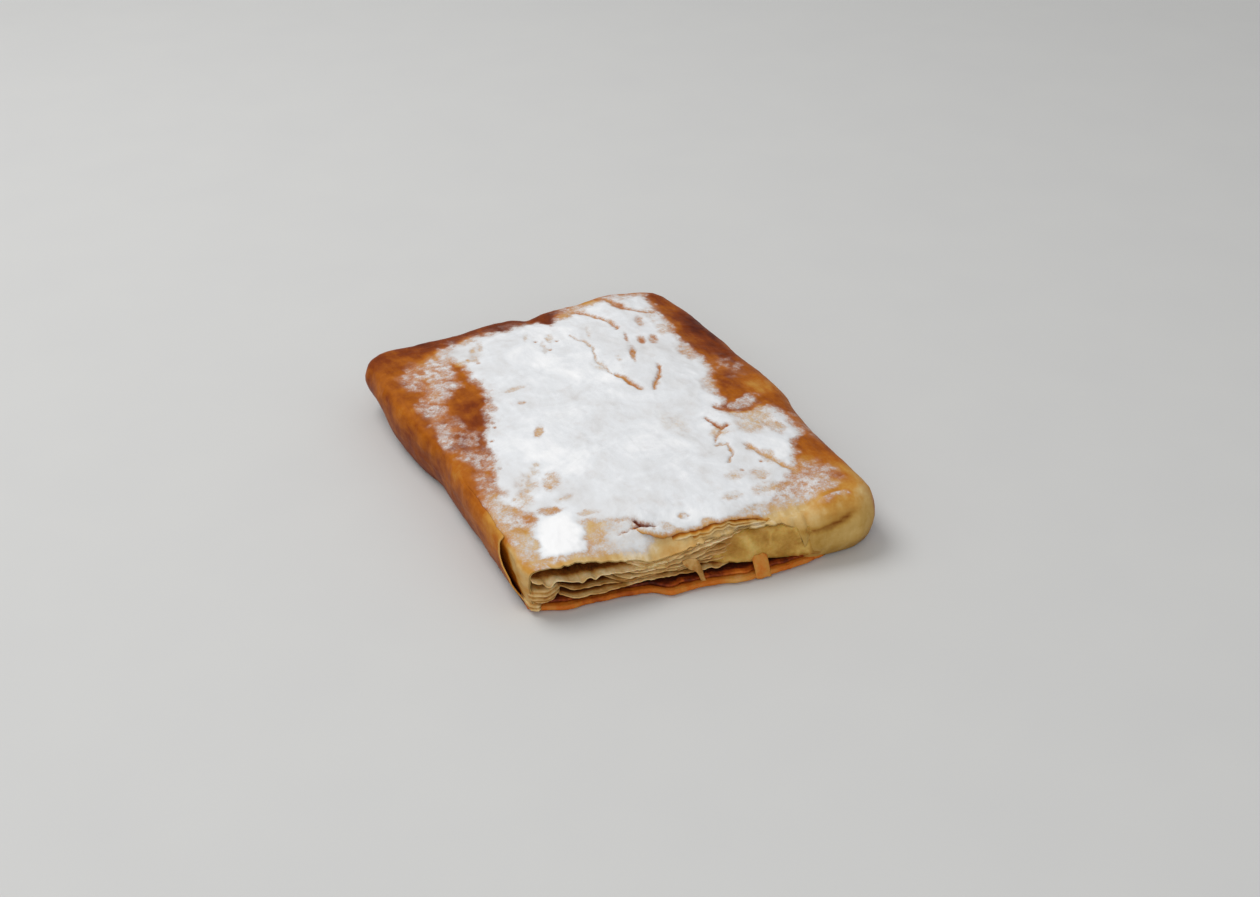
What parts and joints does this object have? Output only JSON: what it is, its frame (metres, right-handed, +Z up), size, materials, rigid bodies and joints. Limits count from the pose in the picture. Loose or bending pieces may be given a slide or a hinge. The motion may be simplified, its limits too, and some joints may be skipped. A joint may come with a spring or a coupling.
{
  "type": "bougatsa",
  "caption": "Rectangular phyllo parcel with custard filling: rounded browned flanks, crowned top under icing sugar, one open end of torn leaves.",
  "frame": {"origin": "on the resting plane, below the middle of the parcel's box", "axes": "+X to the right along the open end, +Y from the open end to the closed end, +Z up"},
  "size_m": [0.1268, 0.166, 0.0247],
  "materials": {
    "phyllo_crust": "baked golden brown, slightly buttery",
    "phyllo_leaf": "pale thin inner leaves, matt",
    "custard": "soft moist semolina custard"
  },
  "bodies": {
    "root": {"phyllo_parcel": "phyllo_crust", "custard": "custard"}
  },
  "joints": []
}
